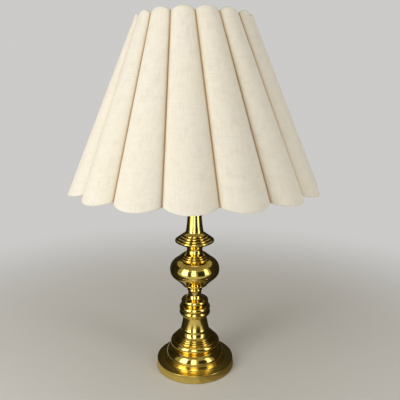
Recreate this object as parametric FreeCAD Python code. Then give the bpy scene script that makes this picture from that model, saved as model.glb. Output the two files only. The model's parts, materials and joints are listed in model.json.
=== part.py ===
import FreeCAD, Part
import math
import os

# Candlestick table lamp: a turned brass stem on a weighted foot, a lamp socket with its bulb and harp,
# and a fluted cloth shade on a wire frame. Millimetres, +Z up, origin at the bottom centre of the felt.
# Azimuths are measured from the front (-Y) towards +X.

# ---- Foot ----
FELT_THICK = 1.6
FELT_EDGE_GAP = 0.4        # felt to the inside of the rim
RIM_LIFT = 0.8             # brass rim above the table
FOOT_R = 68.6              # rim at its lower edge
RIM_DRAFT = 1.4            # how far the rim leans in
RIM_HEIGHT = 12.4
RIM_ROUND = 0.7            # rounded upper edge of the rim
BAND_RISE = 1.4            # climb of the flat brushed band
RISER_R = 52.8             # upright step inside the band
RISER_HEIGHT = 6.2
RISER_COVE = 1.6           # small cove at the foot of the riser
LAND_R = 51.4              # upper land of the foot shell
SHELL_WALL = 1.8           # spun and cast brass shells

# ---- Weight, rod and fastenings under the foot ----
WEIGHT_GAP = 0.3           # iron weight to the shell around it
WEIGHT_RECESS_R = 19.0     # pocket for the nut
ROD_R = 4.9                # hollow threaded rod
ROD_BORE_R = 3.3
ROD_CLEARANCE = 0.3        # rod to the bores of the stem pieces
THREAD_GAP = 0.1           # rod to nuts and socket cap
ROD_TAIL = 1.5             # rod below the base nut
WASHER_R = 13.0
WASHER_THICK = 1.6
NUT_ACROSS = 14.3          # across flats
BASE_NUT_THICK = 5.0

# ---- Cord inlet at the back of the rim ----
BUSH_BORE_R = 3.6
BUSH_BODY_R = 4.6
BUSH_FLANGE_R = 5.5
BUSH_FLANGE_THICK = 1.5
BUSH_HEIGHT = 7.0          # axis above the table
BUSH_LENGTH = 8.0
BUSH_GAP = 0.1             # bush to its hole and its seat

# ---- Turned stem, from the foot upwards ----
DOME_FOOT_R = 50.4
DOME_TOP_R = 36.6
DOME_HEIGHT = 13.8
DOME_BULGE = 3.4

TORUS_LAND_R = 37.2
TORUS_HEIGHT = 13.2
TORUS_BULGE = 5.9
TORUS_RECESS_R = 28.0      # cored underside

TIER_R = (37.3, 35.0, 32.6)   # three stepped beads above the torus
TIER_HEIGHT = 2.5
TIER_BULGE = 0.8

COLUMN_FOOT_R = 30.8       # lower column
COLUMN_WAIST_R = 24.6
COLUMN_TOP_R = 20.3
COLUMN_FLARE_HEIGHT = 11.4
COLUMN_SHANK_HEIGHT = 23.6
COLUMN_FLARE_COVE = 1.9
COLUMN_SHANK_COVE = 0.5
COLUMN_RECESS_R = 15.0     # cored underside

FILLET_R = 21.6            # narrow fillets under the double ring and the seat ring
FILLET_HEIGHT = 3.5
DOUBLE_RING_R = 26.8
DOUBLE_BEAD_HEIGHT = 7.9
DOUBLE_BEAD_BULGE = 1.5
DOUBLE_GROOVE = 0.6        # groove between the two beads
RING_SLOPE_HEIGHT = 1.5    # sloping top of a ring

SEAT_RING_R = 23.6
SEAT_BEAD_HEIGHT = 6.1
SEAT_BEAD_BULGE = 1.2
SEAT_STEP_R = 18.6

NECK_FOOT_R = 15.0         # lower neck
NECK_R = 11.3
NECK_FLARE_HEIGHT = 8.2
NECK_SHANK_HEIGHT = 5.8
NECK_COVE = 1.3
NECK_BEAD_R = 13.0
NECK_BEAD_HEIGHT = 4.6

COLLAR_THROAT_R = 12.6     # collar under the ball
COLLAR_R = 21.4
COLLAR_FLARE_HEIGHT = 6.0
COLLAR_LAND_HEIGHT = 2.6
COLLAR_COVE = 1.0

BALL_BOTTOM_R = 22.6
BALL_CONE_R = 37.6         # end of the conical part
BALL_CONE_HEIGHT = 14.0
BALL_SEAM_R = 41.9
BALL_SEAM_RISE = 7.2       # cone to seam
BALL_SEAM_BULGE = 0.7
BALL_CREST_R = 41.3        # where the shoulder starts to close
BALL_CREST_HEIGHT = 12.2
BALL_CREST_BULGE = 0.9
BALL_TOP_R = 27.8
BALL_SHOULDER_HEIGHT = 12.0
BALL_SHOULDER_BULGE = 2.3

SHOULDER_R = (27.6, 24.2, 20.8)   # three beads on the ball
SHOULDER_BEAD_HEIGHT = 2.7
SHOULDER_BULGE = 0.8
SHOULDER_STEP_R = 15.6
SHOULDER_SLOPE_HEIGHT = 2.3

UPPER_NECK_FOOT_R = 14.6   # upper neck
UPPER_NECK_R = 13.3        # about its waist
UPPER_NECK_HEAD_R = 15.8
UPPER_NECK_HEIGHT = 12.4

PAN_THROAT_R = 16.6        # drip pan
PAN_R = 33.3
PAN_DISH_HEIGHT = 7.6
PAN_DISH_BULGE = 0.5
PAN_LIP_HEIGHT = 3.2
PAN_LIP_BULGE = 0.5
PAN_TIER_R = (29.4, 25.0, 20.9)
PAN_TIER_HEIGHT = 3.2
PAN_TIER_BULGE = 0.6

UPPER_FOOT_R = 18.4        # upper column
UPPER_WAIST_R = 14.6
UPPER_SHANK_R = 12.3
UPPER_TOP_R = 10.6
UPPER_FLARE_HEIGHT = 7.4
UPPER_TAPER_HEIGHT = 20.4
UPPER_SHANK_HEIGHT = 66.0
UPPER_FLARE_COVE = 0.9
UPPER_TAPER_COVE = 0.35

CAP_NECK_R = 11.6          # cup that closes the top of the column
CAP_BEAD_R = 15.4
CAP_BEAD_HEIGHT = 4.0
CAP_CUP_R = 17.4
CAP_CUP_HEIGHT = 12.0
CAP_COVE = 2.2

# ---- Harp and its saddle ----
SADDLE_THICK = 2.0
SADDLE_WIDTH = 13.0
SADDLE_FLAT = 17.0         # half length of the level middle
SADDLE_RISE = 9.0          # shelf above the middle
HARP_HALF_SPAN = 36.0      # axis to leg
SHELF_HALF = 5.0           # half width of the shelf under a leg
SHELF_DEPTH = 10.0         # shelf front to back
SADDLE_NUT_THICK = 4.0
HARP_WIRE_R = 2.2
LAP_GAP = 0.3              # between saddle tab and harp leg, inside the sleeve
LAP_HEIGHT = 14.0          # height of the half-lapped ends
HARP_HEIGHT = 203.0        # shelf to the disc that carries the shade
HARP_STRAIGHT = 38.0       # straight foot of each leg
HARP_ELBOW_R = 40.0
HARP_BOW_R = 56.0
HARP_BOSS_R = 7.5
HARP_BOSS_THICK = 4.8
SLEEVE_LENGTH = 20.0
SLEEVE_WALL = 1.9
SLIDE_FIT = 0.08           # running clearance, on the radius
STUD_FIT = 0.06            # running clearance, on the radius
PLAY = 0.1                 # end play between pieces that turn or slide on each other
STUD_JOURNAL_R = 2.6
STUD_HEAD_R = 4.4
STUD_HEAD_THICK = 1.2
STUD_DISC_R = 11.0
STUD_DISC_THICK = 1.8
STUD_R = 3.1
STUD_LENGTH = 14.0

# ---- Socket ----
SOCKET_THROAT_R = 8.5
SOCKET_THROAT_HEIGHT = 7.0
SOCKET_CAP_R = 19.2
SOCKET_BELL_HEIGHT = 12.0
SOCKET_BELL_BULGE = 2.4
SOCKET_BAND_HEIGHT = 4.0
SOCKET_WALL = 1.0
SOCKET_FLOOR = 8.0         # floor of the cap above its lower end
SOCKET_GAP = 0.15          # nested shells
SHELL_HEIGHT = 40.0
SHELL_MOUTH_R = 15.0
LINER_THICK = 0.7
CORE_R = 13.4
CORE_HEIGHT = 26.0         # floor of the cap to the top of the core
CORE_HUB_R = 7.4
CORE_HUB_HEIGHT = 4.0
SCREW_SHELL_R = 13.1       # inside of the threaded shell
SCREW_SHELL_WALL = 0.5
SCREW_SHELL_HEIGHT = 22.0
CONTACT_R = 3.4
CONTACT_HEIGHT = 2.6
TERMINAL_R = 2.8
TERMINAL_HEAD = 1.6
TERMINAL_SLOT = 0.8        # width and depth of the driver's slot
TERMINAL_SHANK_R = 1.4
TERMINAL_SHANK = 5.0
TERMINAL_DROP = 17.0       # terminals below the top of the core

# ---- Turn switch ----
SWITCH_DROP = 8.0          # switch axis below the top of the core
SWITCH_SHAFT_R = 2.0
SWITCH_HOLE_R = 3.2
SWITCH_DEPTH = 8.0         # shaft inside the core
SWITCH_STANDOFF = 1.2      # shell to knob
SWITCH_KNOB_R = 6.2
SWITCH_KNOB_NECK_R = 3.8
SWITCH_KNOB_NECK = 3.2     # length of the neck
SWITCH_KNOB_END_R = 5.6
SWITCH_KNOB_ROUND = 1.0
SWITCH_KNOB_LENGTH = 13.0
SWITCH_GRIPS = 10
SWITCH_GRIP_R = 0.9

# ---- Bulb ----
BULB_LENGTH = 108.0
BULB_CAP_R = 12.9
BULB_CAP_HEIGHT = 20.0
BULB_CAP_WALL = 0.6
BULB_INSULATOR_HEIGHT = 2.6
BULB_CONTACT_R = 4.6
BULB_CONTACT_HEIGHT = 1.2
BULB_GROOVES = 4
BULB_GROOVE_DEPTH = 0.5
BULB_R = 30.0
BULB_NECK_R = 13.4
BULB_NECK_HEIGHT = 19.0
BULB_THROAT_R = 19.0
BULB_GLASS = 1.0
BULB_STEM_R = 3.0
BULB_STEM_HEIGHT = 52.0
BULB_PLATE_R = 9.5
BULB_PLATE_THICK = 1.5
FILAMENT_COUNT = 4
FILAMENT_R = 1.0
FILAMENT_CIRCLE_R = 7.0
FILAMENT_LENGTH = 30.0

# ---- Shade ----
FLUTES = 16
SHADE_BOTTOM_VALLEY_R = 186.3
SHADE_BOTTOM_PEAK_R = 203.1
SHADE_SCALLOP_DROP = 6.5   # peaks hang below the valleys
SHADE_HEIGHT = 250.6       # valley to valley
SHADE_TOP_VALLEY_R = 87.4
SHADE_TOP_PEAK_R = 90.0
SHADE_SCALLOP_RISE = 6.2   # peaks stand above the valleys
SHADE_BOTTOM_AZIMUTH = -0.7   # centre of the front flute at the bottom, degrees
SHADE_TWIST = -8.8         # top flutes against bottom flutes, degrees
PANEL_THICK = 1.2
SEAM_GAP = 0.24            # between neighbouring panels
FRAME_WIRE_R = 1.2
FRAME_GAP = 0.5            # panel to frame wire
WIRE_END_GAP = 0.3         # end of a rib or arm to the frame wire
MITRE_ANGLE = 8.0          # how far a bow of wire runs on before it is mitred, degrees
SPIDER_HUB_R = 10.5
SPIDER_HUB_THICK = 3.0
SPIDER_HOLE_R = 3.4
SPIDER_ARMS = 3
SPIDER_RISE = 14.5         # hub's middle to the valleys of the upper edge
SPIDER_ARM_R = 1.4

# ---- Finial ----
INSERT_R = 5.0
INSERT_LENGTH = 10.0
FINIAL_FOOT_R = 8.6
FINIAL_FOOT_HEIGHT = 2.4
FINIAL_NECK_R = 6.4
FINIAL_NECK_HEIGHT = 5.0
FINIAL_NECK_COVE = 0.6
FINIAL_BALL_R = 9.4
FINIAL_BALL_HEIGHT = 15.0
FINIAL_TIP_R = 2.4
FINIAL_TIP_HEIGHT = 4.0

# ---- Levels that follow from the sizes above ----
STEM_BORE_R = ROD_R + ROD_CLEARANCE
Z_RIM = RIM_LIFT + RIM_HEIGHT
Z_BAND = Z_RIM + BAND_RISE
Z_FOOT = Z_BAND + RISER_COVE + RISER_HEIGHT
Z_DOME = Z_FOOT + DOME_HEIGHT
Z_TORUS = Z_DOME + TORUS_HEIGHT
Z_TIERS = Z_TORUS + len(TIER_R) * TIER_HEIGHT
Z_COLUMN = Z_TIERS + COLUMN_FLARE_HEIGHT + COLUMN_SHANK_HEIGHT
Z_DOUBLE = Z_COLUMN + FILLET_HEIGHT + 2 * DOUBLE_BEAD_HEIGHT + DOUBLE_GROOVE + RING_SLOPE_HEIGHT
Z_SEAT = Z_DOUBLE + FILLET_HEIGHT + SEAT_BEAD_HEIGHT + RING_SLOPE_HEIGHT
Z_NECK = Z_SEAT + NECK_FLARE_HEIGHT + NECK_SHANK_HEIGHT + NECK_BEAD_HEIGHT
Z_COLLAR = Z_NECK + COLLAR_FLARE_HEIGHT + COLLAR_LAND_HEIGHT
Z_SEAM = Z_COLLAR + BALL_CONE_HEIGHT + BALL_SEAM_RISE
Z_BALL = Z_SEAM + BALL_CREST_HEIGHT + BALL_SHOULDER_HEIGHT
Z_SHOULDER = Z_BALL + len(SHOULDER_R) * SHOULDER_BEAD_HEIGHT + SHOULDER_SLOPE_HEIGHT
Z_UPPER_NECK = Z_SHOULDER + UPPER_NECK_HEIGHT
Z_PAN = Z_UPPER_NECK + PAN_DISH_HEIGHT + PAN_LIP_HEIGHT + len(PAN_TIER_R) * PAN_TIER_HEIGHT
Z_UPPER = Z_PAN + UPPER_FLARE_HEIGHT + UPPER_TAPER_HEIGHT + UPPER_SHANK_HEIGHT
Z_CAP = Z_UPPER + CAP_BEAD_HEIGHT + CAP_CUP_HEIGHT
Z_SADDLE = Z_CAP + SADDLE_THICK
Z_SHELF = Z_SADDLE + SADDLE_RISE
Z_SOCKET = Z_SADDLE + SADDLE_NUT_THICK
Z_CORE_FLOOR = Z_SOCKET + SOCKET_FLOOR
Z_CORE = Z_CORE_FLOOR + CORE_HEIGHT
Z_SWITCH = Z_CORE - SWITCH_DROP
Z_BELL = Z_SOCKET + SOCKET_THROAT_HEIGHT + SOCKET_BELL_HEIGHT
Z_SHELL = Z_BELL + PLAY
Z_SHELL_TOP = Z_SHELL + SHELL_HEIGHT
Z_BULB = Z_CORE + CONTACT_HEIGHT + PLAY
Z_BULB_CAP = Z_BULB + BULB_CONTACT_HEIGHT + BULB_INSULATOR_HEIGHT
Z_GLASS = Z_BULB_CAP + BULB_CAP_HEIGHT + PLAY
Z_BULB_TOP = Z_BULB + BULB_LENGTH
Z_POST = Z_GLASS - BULB_CAP_HEIGHT / 4
Z_PLATE = Z_POST + BULB_STEM_HEIGHT - BULB_PLATE_THICK
Z_FILAMENT = Z_PLATE - PLAY - FILAMENT_LENGTH
Z_REST = Z_SHELF + HARP_HEIGHT
Z_BOSS = Z_REST - STUD_DISC_THICK - PLAY - HARP_BOSS_THICK / 2
Z_HUB = Z_REST + PLAY
Z_FINIAL = Z_HUB + SPIDER_HUB_THICK + PLAY
Z_WEIGHT = Z_FOOT - SHELL_WALL - WEIGHT_GAP
Z_WASHER = Z_BAND - SHELL_WALL - WASHER_THICK

Z_SHADE_TOP = Z_HUB + SPIDER_HUB_THICK / 2 + SPIDER_RISE
Z_SHADE_BOTTOM = Z_SHADE_TOP - SHADE_HEIGHT

SHELL_R = SOCKET_CAP_R - SOCKET_WALL - SOCKET_GAP
LINER_R = SHELL_R - SOCKET_WALL - SOCKET_GAP
KNOB_FACE = SHELL_R + SWITCH_STANDOFF
FLUTE_ANGLE = 360.0 / FLUTES

QUARTER_ROUND = 1 - math.sqrt(0.5)   # bulge of a quarter round of unit radius
UP = FreeCAD.Vector(0, 0, 1)
FRONT = FreeCAD.Vector(0, -1, 0)
BACK = FreeCAD.Vector(0, 1, 0)
ORIGIN = FreeCAD.Vector(0, 0, 0)


# ---- Drawing helpers ----

def vec(x, y, z):
    return FreeCAD.Vector(x, y, z)


def bulged_arc(start, end, bulge):
    """Arc between two corners of an outline that stands out by bulge to the right of its path."""
    dr = end[0] - start[0]
    dz = end[1] - start[1]
    length = math.hypot(dr, dz)
    middle_r = (start[0] + end[0]) / 2 + bulge * dz / length
    middle_z = (start[1] + end[1]) / 2 - bulge * dr / length
    return Part.Arc(vec(start[0], 0, start[1]), vec(middle_r, 0, middle_z), vec(end[0], 0, end[1]))


def turned(outline):
    """Solid of revolution. A corner is (radius, height) after a straight run, or (radius, height, bulge)
    after an arc. The outline runs up the outside and closes by itself."""
    edges = []
    corners = list(outline) + [outline[0][:2]]
    for start, end in zip(corners, corners[1:]):
        if len(end) == 3:
            edges.append(bulged_arc(start, end, end[2]).toShape())
        else:
            edges.append(Part.LineSegment(vec(start[0], 0, start[1]), vec(end[0], 0, end[1])).toShape())
    return Part.Face(Part.Wire(edges)).revolve(ORIGIN, UP, 360)


def bored(outside, bore_r=STEM_BORE_R):
    """Turned piece with a straight bore; outside runs from its lower land to its upper land."""
    return turned([*outside, (bore_r, outside[-1][1]), (bore_r, outside[0][1])])


def spun_shell(outside, wall, drop):
    """Bored piece hollowed by a copy of its outside, moved in by the wall and down by drop."""
    moved = [(corner[0] - wall, corner[1] - drop, *corner[2:]) for corner in outside]
    core = turned([*moved, (0, moved[-1][1]), (0, moved[0][1])])
    return bored(outside).cut(core)


def beads(radii, height, bulge, start_z):
    """Corners of a stack of half-round beads, one above the other."""
    corners = []
    for index, radius in enumerate(radii):
        low = start_z + index * height
        corners.append((radius - bulge, low))
        corners.append((radius - bulge, low + height, bulge))
    return corners


def tube(outer_r, inner_r, low, high):
    return bored([(outer_r, low), (outer_r, high)], inner_r)


def disc(radius, low, high):
    return turned([(radius, low), (radius, high), (0, high), (0, low)])


def crown_bulge(radius, rise):
    """Bulge of the arc that closes a dome smoothly on the axis."""
    ball_r = (radius ** 2 + rise ** 2) / (2 * rise)
    return ball_r * (1 - math.cos(math.atan2(radius, ball_r - rise) / 2))


def hex_nut(across, bore_r, low, thick):
    corner_r = across / math.sqrt(3)
    corners = [vec(corner_r * math.cos(math.radians(60 * i)), corner_r * math.sin(math.radians(60 * i)), low)
               for i in range(6)]
    blank = Part.Face(Part.makePolygon(corners + corners[:1])).extrude(vec(0, 0, thick))
    return blank.cut(Part.makeCylinder(bore_r, thick, vec(0, 0, low)))


def at_azimuth(radius, azimuth, z):
    """Point at a radius and an azimuth in degrees from the front (-Y) towards +X."""
    angle = math.radians(azimuth)
    return vec(radius * math.sin(angle), -radius * math.cos(angle), z)


def rod_between(start, end, radius):
    run = end - start
    return Part.makeCylinder(radius, run.Length, start, run)


# ---- Foot ----

def rim_outline(grow):
    """Outside of the foot, from the table to its upper land; grow moves it outwards."""
    rim_top_r = FOOT_R - RIM_DRAFT
    cove_r = RISER_R + RISER_COVE
    return [(FOOT_R + grow, RIM_LIFT), (rim_top_r + grow, Z_RIM - RIM_ROUND),
            (rim_top_r - RIM_ROUND + grow, Z_RIM + grow, QUARTER_ROUND * RIM_ROUND),
            (cove_r, Z_BAND + grow), (RISER_R, Z_BAND + RISER_COVE, -QUARTER_ROUND * RISER_COVE),
            (RISER_R, Z_FOOT - RIM_ROUND), (LAND_R, Z_FOOT)]


def inlet_hole(radius):
    """Level bore through the back of the rim, into the pocket of the weight."""
    return Part.makeCylinder(radius, FOOT_R, vec(0, WEIGHT_RECESS_R / 2, BUSH_HEIGHT), BACK)


def foot_shell():
    rim_top_r = FOOT_R - RIM_DRAFT
    inside = [(FOOT_R - SHELL_WALL, 0), (rim_top_r - SHELL_WALL, Z_RIM - SHELL_WALL),
              (RISER_R - SHELL_WALL, Z_BAND - SHELL_WALL), (RISER_R - SHELL_WALL, Z_FOOT - SHELL_WALL),
              (0, Z_FOOT - SHELL_WALL), (0, 0)]
    shell = bored(rim_outline(0)).cut(turned(inside))
    return shell.cut(inlet_hole(BUSH_BODY_R + BUSH_GAP))


def weight_disc():
    """Iron disc inside the foot, with a pocket for the nut and a channel for the cord."""
    inset = SHELL_WALL + WEIGHT_GAP
    edge_r = FOOT_R - RIM_DRAFT - inset
    block = bored([(edge_r, FELT_THICK + PLAY), (edge_r, Z_RIM - inset), (RISER_R - inset, Z_BAND - inset),
                   (RISER_R - inset, Z_WEIGHT)])
    pocket = disc(WEIGHT_RECESS_R, 0, Z_WASHER + WASHER_THICK)
    half_width = BUSH_BODY_R + WEIGHT_GAP
    channel = Part.makeBox(2 * half_width, FOOT_R, BUSH_HEIGHT + half_width, vec(-half_width, 0, 0))
    return block.cut(pocket).cut(channel)


def felt_pad():
    return disc(FOOT_R - SHELL_WALL - FELT_EDGE_GAP, 0, FELT_THICK)


def base_washer():
    return tube(WASHER_R, STEM_BORE_R, Z_WASHER, Z_WASHER + WASHER_THICK)


def base_nut():
    return hex_nut(NUT_ACROSS, ROD_R + THREAD_GAP, Z_WASHER - BASE_NUT_THICK, BASE_NUT_THICK)


def threaded_rod():
    low = Z_WASHER - BASE_NUT_THICK - ROD_TAIL
    return tube(ROD_R, ROD_BORE_R, low, Z_CORE_FLOOR)


def cord_bush():
    """Bush in the rim; its flange follows the rim's curve."""
    body = Part.makeCylinder(BUSH_BODY_R, BUSH_LENGTH, vec(0, FOOT_R - BUSH_LENGTH, BUSH_HEIGHT), BACK)
    flange = Part.makeCylinder(BUSH_FLANGE_R, 2 * BUSH_FLANGE_THICK,
                               vec(0, FOOT_R - BUSH_FLANGE_THICK, BUSH_HEIGHT), BACK)
    rim = turned([*rim_outline(BUSH_GAP), (0, Z_FOOT), (0, RIM_LIFT)])
    return body.fuse(flange.cut(rim)).cut(inlet_hole(BUSH_BORE_R))


# ---- Stem ----

def foot_dome():
    return spun_shell([(DOME_FOOT_R, Z_FOOT), (DOME_TOP_R, Z_DOME, DOME_BULGE)], SHELL_WALL, SHELL_WALL)


def base_torus():
    roof = Z_TORUS - 2 * SHELL_WALL
    return turned([(TORUS_LAND_R, Z_DOME), (TORUS_LAND_R, Z_TORUS, TORUS_BULGE), (STEM_BORE_R, Z_TORUS),
                   (STEM_BORE_R, roof), (TORUS_RECESS_R, roof), (TORUS_RECESS_R, Z_DOME)])


def stepped_ring():
    return bored(beads(TIER_R, TIER_HEIGHT, TIER_BULGE, Z_TORUS))


def lower_column():
    waist = Z_TIERS + COLUMN_FLARE_HEIGHT
    roof = Z_COLUMN - 2 * SHELL_WALL
    return turned([(COLUMN_FOOT_R, Z_TIERS), (COLUMN_WAIST_R, waist, -COLUMN_FLARE_COVE),
                   (COLUMN_TOP_R, Z_COLUMN, -COLUMN_SHANK_COVE), (STEM_BORE_R, Z_COLUMN),
                   (STEM_BORE_R, roof), (COLUMN_RECESS_R, roof), (COLUMN_RECESS_R, Z_TIERS)])


def double_ring():
    bead_low = Z_COLUMN + FILLET_HEIGHT
    land_r = DOUBLE_RING_R - DOUBLE_BEAD_BULGE
    lower_top = bead_low + DOUBLE_BEAD_HEIGHT
    upper_low = lower_top + DOUBLE_GROOVE
    upper_top = upper_low + DOUBLE_BEAD_HEIGHT
    return bored([(FILLET_R, Z_COLUMN), (FILLET_R, bead_low), (land_r, bead_low),
                  (land_r, lower_top, DOUBLE_BEAD_BULGE), (land_r - DOUBLE_GROOVE, lower_top),
                  (land_r - DOUBLE_GROOVE, upper_low), (land_r, upper_low),
                  (land_r, upper_top, DOUBLE_BEAD_BULGE), (FILLET_R, Z_DOUBLE)])


def seat_ring():
    bead_low = Z_DOUBLE + FILLET_HEIGHT
    land_r = SEAT_RING_R - SEAT_BEAD_BULGE
    return bored([(FILLET_R, Z_DOUBLE), (FILLET_R, bead_low), (land_r, bead_low),
                  (land_r, bead_low + SEAT_BEAD_HEIGHT, SEAT_BEAD_BULGE), (SEAT_STEP_R, Z_SEAT)])


def lower_neck():
    shank_low = Z_SEAT + NECK_FLARE_HEIGHT
    bead_low = shank_low + NECK_SHANK_HEIGHT
    bulge = NECK_BEAD_R - NECK_R
    return bored([(NECK_FOOT_R, Z_SEAT), (NECK_R, shank_low, -NECK_COVE), (NECK_R, bead_low),
                  (NECK_R, Z_NECK, bulge)])


def ball_collar():
    return bored([(COLLAR_THROAT_R, Z_NECK), (COLLAR_R, Z_NECK + COLLAR_FLARE_HEIGHT, -COLLAR_COVE),
                  (COLLAR_R, Z_COLLAR)])


def ball_lower_shell():
    outside = [(BALL_BOTTOM_R, Z_COLLAR), (BALL_CONE_R, Z_COLLAR + BALL_CONE_HEIGHT),
               (BALL_SEAM_R, Z_SEAM, BALL_SEAM_BULGE)]
    moved = [(corner[0] - SHELL_WALL, corner[1] + SHELL_WALL, *corner[2:]) for corner in outside]
    core = turned([*moved, (0, Z_SEAM + SHELL_WALL), (0, Z_COLLAR + SHELL_WALL)])
    return bored(outside).cut(core)


def ball_upper_shell():
    outside = [(BALL_SEAM_R, Z_SEAM), (BALL_CREST_R, Z_SEAM + BALL_CREST_HEIGHT, BALL_CREST_BULGE),
               (BALL_TOP_R, Z_BALL, BALL_SHOULDER_BULGE)]
    return spun_shell(outside, SHELL_WALL, SHELL_WALL)


def shoulder_collar():
    return bored(beads(SHOULDER_R, SHOULDER_BEAD_HEIGHT, SHOULDER_BULGE, Z_BALL)
                 + [(SHOULDER_STEP_R, Z_SHOULDER)])


def upper_neck():
    cove = (UPPER_NECK_FOOT_R + UPPER_NECK_HEAD_R) / 2 - UPPER_NECK_R
    return bored([(UPPER_NECK_FOOT_R, Z_SHOULDER), (UPPER_NECK_HEAD_R, Z_UPPER_NECK, -cove)])


def drip_pan():
    dish_top = Z_UPPER_NECK + PAN_DISH_HEIGHT
    lip_top = dish_top + PAN_LIP_HEIGHT
    return bored([(PAN_THROAT_R, Z_UPPER_NECK), (PAN_R - PAN_LIP_BULGE, dish_top, PAN_DISH_BULGE),
                  (PAN_R - PAN_LIP_BULGE, lip_top, PAN_LIP_BULGE)]
                 + beads(PAN_TIER_R, PAN_TIER_HEIGHT, PAN_TIER_BULGE, lip_top))


def upper_column():
    waist = Z_PAN + UPPER_FLARE_HEIGHT
    shank = waist + UPPER_TAPER_HEIGHT
    return bored([(UPPER_FOOT_R, Z_PAN), (UPPER_WAIST_R, waist, -UPPER_FLARE_COVE),
                  (UPPER_SHANK_R, shank, -UPPER_TAPER_COVE), (UPPER_TOP_R, Z_UPPER)])


def column_cap():
    bead_top = Z_UPPER + CAP_BEAD_HEIGHT
    bulge = CAP_BEAD_HEIGHT / 2
    return bored([(CAP_BEAD_R - bulge, Z_UPPER), (CAP_BEAD_R - bulge, bead_top, bulge),
                  (CAP_NECK_R, bead_top), (CAP_CUP_R, Z_CAP, -CAP_COVE)])


# ---- Harp ----

def harp_saddle():
    """Level strip with two rising arms; each ends in a shelf and an upright half-round tab."""
    knee = HARP_HALF_SPAN - SHELF_HALF
    end = HARP_HALF_SPAN + SHELF_HALF
    top = [(-end, Z_SHELF), (-knee, Z_SHELF), (-SADDLE_FLAT, Z_SADDLE),
           (SADDLE_FLAT, Z_SADDLE), (knee, Z_SHELF), (end, Z_SHELF)]
    corners = [vec(x, -SADDLE_WIDTH / 2, z) for x, z in top]
    corners += [vec(x, -SADDLE_WIDTH / 2, z - SADDLE_THICK) for x, z in reversed(top)]
    strip = Part.Face(Part.makePolygon(corners + corners[:1])).extrude(vec(0, SADDLE_WIDTH, 0))
    strip = strip.cut(Part.makeCylinder(STEM_BORE_R, SADDLE_THICK, vec(0, 0, Z_CAP)))
    for side in (-1, 1):
        post = Part.makeCylinder(HARP_WIRE_R, LAP_HEIGHT + SADDLE_THICK,
                                 vec(side * HARP_HALF_SPAN, 0, Z_SHELF - SADDLE_THICK))
        strip = strip.fuse(post.cut(lap_block(side, -1)))
    return strip


def lap_block(side, kept):
    """Block that cuts a round end down to its inner half (kept -1) or its outer half (kept 1)."""
    width = 2 * HARP_WIRE_R
    flat_x = side * (HARP_HALF_SPAN + kept * LAP_GAP / 2)
    low_x = flat_x - width if side * kept > 0 else flat_x
    height = SADDLE_THICK + LAP_HEIGHT + PLAY
    return Part.makeBox(width, 2 * width, height, vec(low_x, -width, Z_SHELF - SADDLE_THICK))


def harp_path():
    """Centre line of the wire: straight leg, elbow out, straight run, bow over the top, and the mirror."""
    leg_top = Z_SHELF + HARP_STRAIGHT
    across = HARP_HALF_SPAN + HARP_ELBOW_R
    above = Z_BOSS - HARP_BOW_R - leg_top
    lean = math.asin((HARP_ELBOW_R + HARP_BOW_R) / math.hypot(across, above)) - math.atan2(across, above)

    def elbow(angle, side):
        rise = HARP_ELBOW_R * math.sin(angle)
        return vec(side * (across - HARP_ELBOW_R * math.cos(angle)), 0, leg_top + rise)

    def bow(angle, side):
        rise = HARP_BOW_R * math.sin(angle)
        return vec(side * HARP_BOW_R * math.cos(angle), 0, Z_BOSS - HARP_BOW_R + rise)

    edges = []
    for side in (-1, 1):
        foot = vec(side * HARP_HALF_SPAN, 0, Z_SHELF + PLAY)
        pieces = [Part.LineSegment(foot, elbow(0, side)),
                  Part.Arc(elbow(0, side), elbow(lean / 2, side), elbow(lean, side)),
                  Part.LineSegment(elbow(lean, side), bow(-lean, side)),
                  Part.Arc(bow(-lean, side), bow(math.pi / 4 - lean / 2, side), bow(math.pi / 2, side))]
        edges += [piece.toShape() for piece in pieces]
    return Part.Wire(Part.__sortEdges__(edges))


def harp_loop():
    path = harp_path()
    foot = path.OrderedVertexes[0].Point
    section = Part.Wire(Part.Circle(foot, UP, HARP_WIRE_R).toShape())
    wire = path.makePipeShell([section], True, False)
    for side in (-1, 1):
        wire = wire.cut(lap_block(side, 1))
    boss_low = Z_BOSS - HARP_BOSS_THICK / 2
    boss = Part.makeCylinder(HARP_BOSS_R, HARP_BOSS_THICK, vec(0, 0, boss_low))
    hole = Part.makeCylinder(STUD_JOURNAL_R + STUD_FIT, HARP_BOSS_THICK, vec(0, 0, boss_low))
    return wire.fuse(boss).cut(hole)


def harp_sleeve(side):
    bore_r = HARP_WIRE_R + SLIDE_FIT
    sleeve = tube(bore_r + SLEEVE_WALL, bore_r, Z_SHELF + PLAY, Z_SHELF + PLAY + SLEEVE_LENGTH)
    sleeve.translate(vec(side * HARP_HALF_SPAN, 0, 0))
    return sleeve


def harp_stud():
    """Threaded stud that turns in the harp's boss: riveted head below, carrying disc above."""
    boss_low = Z_BOSS - HARP_BOSS_THICK / 2
    head_top = boss_low - PLAY
    return turned([(0, head_top - STUD_HEAD_THICK), (STUD_HEAD_R, head_top - STUD_HEAD_THICK),
                   (STUD_HEAD_R, head_top), (STUD_JOURNAL_R, head_top),
                   (STUD_JOURNAL_R, Z_REST - STUD_DISC_THICK), (STUD_DISC_R, Z_REST - STUD_DISC_THICK),
                   (STUD_DISC_R, Z_REST), (STUD_R, Z_REST), (STUD_R, Z_REST + STUD_LENGTH),
                   (0, Z_REST + STUD_LENGTH)])


def saddle_nut():
    return hex_nut(NUT_ACROSS, ROD_R + THREAD_GAP, Z_SADDLE, SADDLE_NUT_THICK)


# ---- Socket ----

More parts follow.
